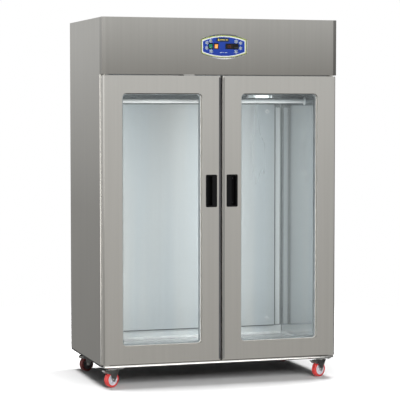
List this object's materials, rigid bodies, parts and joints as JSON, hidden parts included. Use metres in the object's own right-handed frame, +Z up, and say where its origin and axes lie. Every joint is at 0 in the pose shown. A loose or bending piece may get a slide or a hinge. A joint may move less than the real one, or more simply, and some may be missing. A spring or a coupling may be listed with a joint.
{
  "type": "proofing cabinet",
  "caption": "Tall glazed cabinet on swivel casters that holds dough at a set temperature and humidity, with hinged doors, a machine compartment and a hanging rail.",
  "frame": {"origin": "on the floor, under the middle of the cabinet's overall depth and width", "axes": "+Z up, doors face -Y, +X to the right as seen from the front"},
  "size_m": [1.4, 0.8, 2.09],
  "materials": {
    "stainless": "satin",
    "stainless_bright": "satin",
    "galvanised": "satin",
    "foam": "matte",
    "fin_aluminium": "satin",
    "black_paint": "satin",
    "polished_tube": "polished",
    "label_blue": "gloss",
    "black_plastic": "satin",
    "grey_plastic": "matte",
    "zinc": "satin",
    "green_lens": "gloss",
    "orange_lens": "gloss",
    "button_rubber": "matte",
    "window_glass": "gloss",
    "spacer_black": "matte",
    "gasket_rubber": "matte",
    "handle_plastic": "satin",
    "hub_nylon": "satin",
    "tread_red": "satin"
  },
  "bodies": {
    "cabinet": {"side_panel_left": "stainless", "side_panel_right": "stainless", "back_panel": "galvanised", "top_cover": "galvanised", "base_pan": "galvanised", "front_strip": "stainless_bright", "insulation": "foam", "machine_deck": "galvanised", "liner_walls": "stainless_bright", "liner_ceiling": "stainless_bright", "liner_floor": "stainless_bright", "door_frame": "stainless_bright", "duct_panel": "stainless_bright", "evaporator_housing": "stainless_bright", "evaporator_coil": "fin_aluminium", "blower_motor": "black_paint", "hanging_rail": "polished_tube", "fascia": "stainless", "label_plate": "label_blue", "controller_body": "black_plastic", "rocker_bezels": "black_plastic", "compressor": "black_paint", "condenser_coil": "fin_aluminium", "condenser_shroud": "black_paint", "electrical_box": "grey_plastic", "cable_gland": "grey_plastic", "hinge_brackets": "stainless_bright", "caster_plates": "zinc"},
    "door_left": {"door_skin_left": "stainless", "door_liner_left": "stainless_bright", "door_glass_left": "window_glass", "glass_spacer_left": "spacer_black", "door_gasket_left": "gasket_rubber", "door_handle_left": "handle_plastic"},
    "door_right": {"door_skin_right": "stainless", "door_liner_right": "stainless_bright", "door_glass_right": "window_glass", "glass_spacer_right": "spacer_black", "door_gasket_right": "gasket_rubber", "door_handle_right": "handle_plastic"},
    "green_switch": {"rocker_green": "green_lens"},
    "orange_switch": {"rocker_orange": "orange_lens"},
    "set_key": {"set_button": "button_rubber"},
    "down_key": {"down_button": "button_rubber"},
    "blower": {"blower_rotor": "fin_aluminium"},
    "condenser_fan": {"condenser_rotor": "fin_aluminium"},
    "caster_front_left": {"caster_fork_front_left": "zinc"},
    "wheel_front_left": {"wheel_hub_front_left": "hub_nylon", "wheel_tread_front_left": "tread_red"},
    "caster_front_right": {"caster_fork_front_right": "zinc"},
    "wheel_front_right": {"wheel_hub_front_right": "hub_nylon", "wheel_tread_front_right": "tread_red"},
    "caster_rear_left": {"caster_fork_rear_left": "zinc"},
    "wheel_rear_left": {"wheel_hub_rear_left": "hub_nylon", "wheel_tread_rear_left": "tread_red"},
    "caster_rear_right": {"caster_fork_rear_right": "zinc"},
    "wheel_rear_right": {"wheel_hub_rear_right": "hub_nylon", "wheel_tread_rear_right": "tread_red"},
    "pedal_front_left": {"brake_pedal_front_left": "zinc"},
    "pedal_front_right": {"brake_pedal_front_right": "zinc"}
  },
  "joints": [
    {"name": "door_left_hinge", "type": "hinge", "parent": "cabinet", "child": "door_left", "pos_m": [-0.68, -0.372, 0.952], "axis": [0, 0, -1], "range_deg": [0, 110]},
    {"name": "door_right_hinge", "type": "hinge", "parent": "cabinet", "child": "door_right", "pos_m": [0.68, -0.372, 0.952], "axis": [0, 0, 1], "range_deg": [0, 110]},
    {"name": "green_switch_rock", "type": "hinge", "parent": "cabinet", "child": "green_switch", "pos_m": [-0.065, -0.3865, 1.933], "axis": [1, 0, 0], "range_deg": [-16, 0]},
    {"name": "orange_switch_rock", "type": "hinge", "parent": "cabinet", "child": "orange_switch", "pos_m": [-0.032, -0.3865, 1.933], "axis": [1, 0, 0], "range_deg": [-16, 0]},
    {"name": "set_key_press", "type": "slide", "parent": "cabinet", "child": "set_key", "axis": [0, 1, 0], "range_m": [0, 0.0008], "stiffness_N_per_m": 60},
    {"name": "down_key_press", "type": "slide", "parent": "cabinet", "child": "down_key", "axis": [0, 1, 0], "range_m": [0, 0.0008], "stiffness_N_per_m": 60},
    {"name": "blower_spin", "type": "hinge", "parent": "cabinet", "child": "blower", "pos_m": [0, 0.207, 1.655], "axis": [1, 0, 0], "continuous": true},
    {"name": "condenser_fan_spin", "type": "hinge", "parent": "cabinet", "child": "condenser_fan", "pos_m": [-0.15, 0.262, 1.895], "axis": [0, 1, 0], "continuous": true},
    {"name": "swivel_front_left", "type": "hinge", "parent": "cabinet", "child": "caster_front_left", "pos_m": [-0.612, -0.302, 0.104], "axis": [0, 0, 1], "continuous": true},
    {"name": "roll_front_left", "type": "hinge", "parent": "caster_front_left", "child": "wheel_front_left", "pos_m": [-0.62998, -0.31077, 0.045], "axis": [-0.4384, 0.8988, 0], "continuous": true},
    {"name": "swivel_front_right", "type": "hinge", "parent": "cabinet", "child": "caster_front_right", "pos_m": [0.648, -0.302, 0.104], "axis": [0, 0, 1], "continuous": true},
    {"name": "roll_front_right", "type": "hinge", "parent": "caster_front_right", "child": "wheel_front_right", "pos_m": [0.63002, -0.31077, 0.045], "axis": [-0.4384, 0.8988, 0], "continuous": true},
    {"name": "swivel_rear_left", "type": "hinge", "parent": "cabinet", "child": "caster_rear_left", "pos_m": [-0.612, 0.302, 0.104], "axis": [0, 0, 1], "continuous": true},
    {"name": "roll_rear_left", "type": "hinge", "parent": "caster_rear_left", "child": "wheel_rear_left", "pos_m": [-0.62998, 0.29323, 0.045], "axis": [-0.4384, 0.8988, 0], "continuous": true},
    {"name": "swivel_rear_right", "type": "hinge", "parent": "cabinet", "child": "caster_rear_right", "pos_m": [0.648, 0.302, 0.104], "axis": [0, 0, 1], "continuous": true},
    {"name": "roll_rear_right", "type": "hinge", "parent": "caster_rear_right", "child": "wheel_rear_right", "pos_m": [0.63002, 0.29323, 0.045], "axis": [-0.4384, 0.8988, 0], "continuous": true},
    {"name": "brake_front_left", "type": "hinge", "parent": "caster_front_left", "child": "pedal_front_left", "pos_m": [-0.66053, -0.32567, 0.088], "axis": [0.4384, -0.8988, 0], "range_deg": [0, 12]},
    {"name": "brake_front_right", "type": "hinge", "parent": "caster_front_right", "child": "pedal_front_right", "pos_m": [0.59947, -0.32567, 0.088], "axis": [0.4384, -0.8988, 0], "range_deg": [0, 12]}
  ]
}
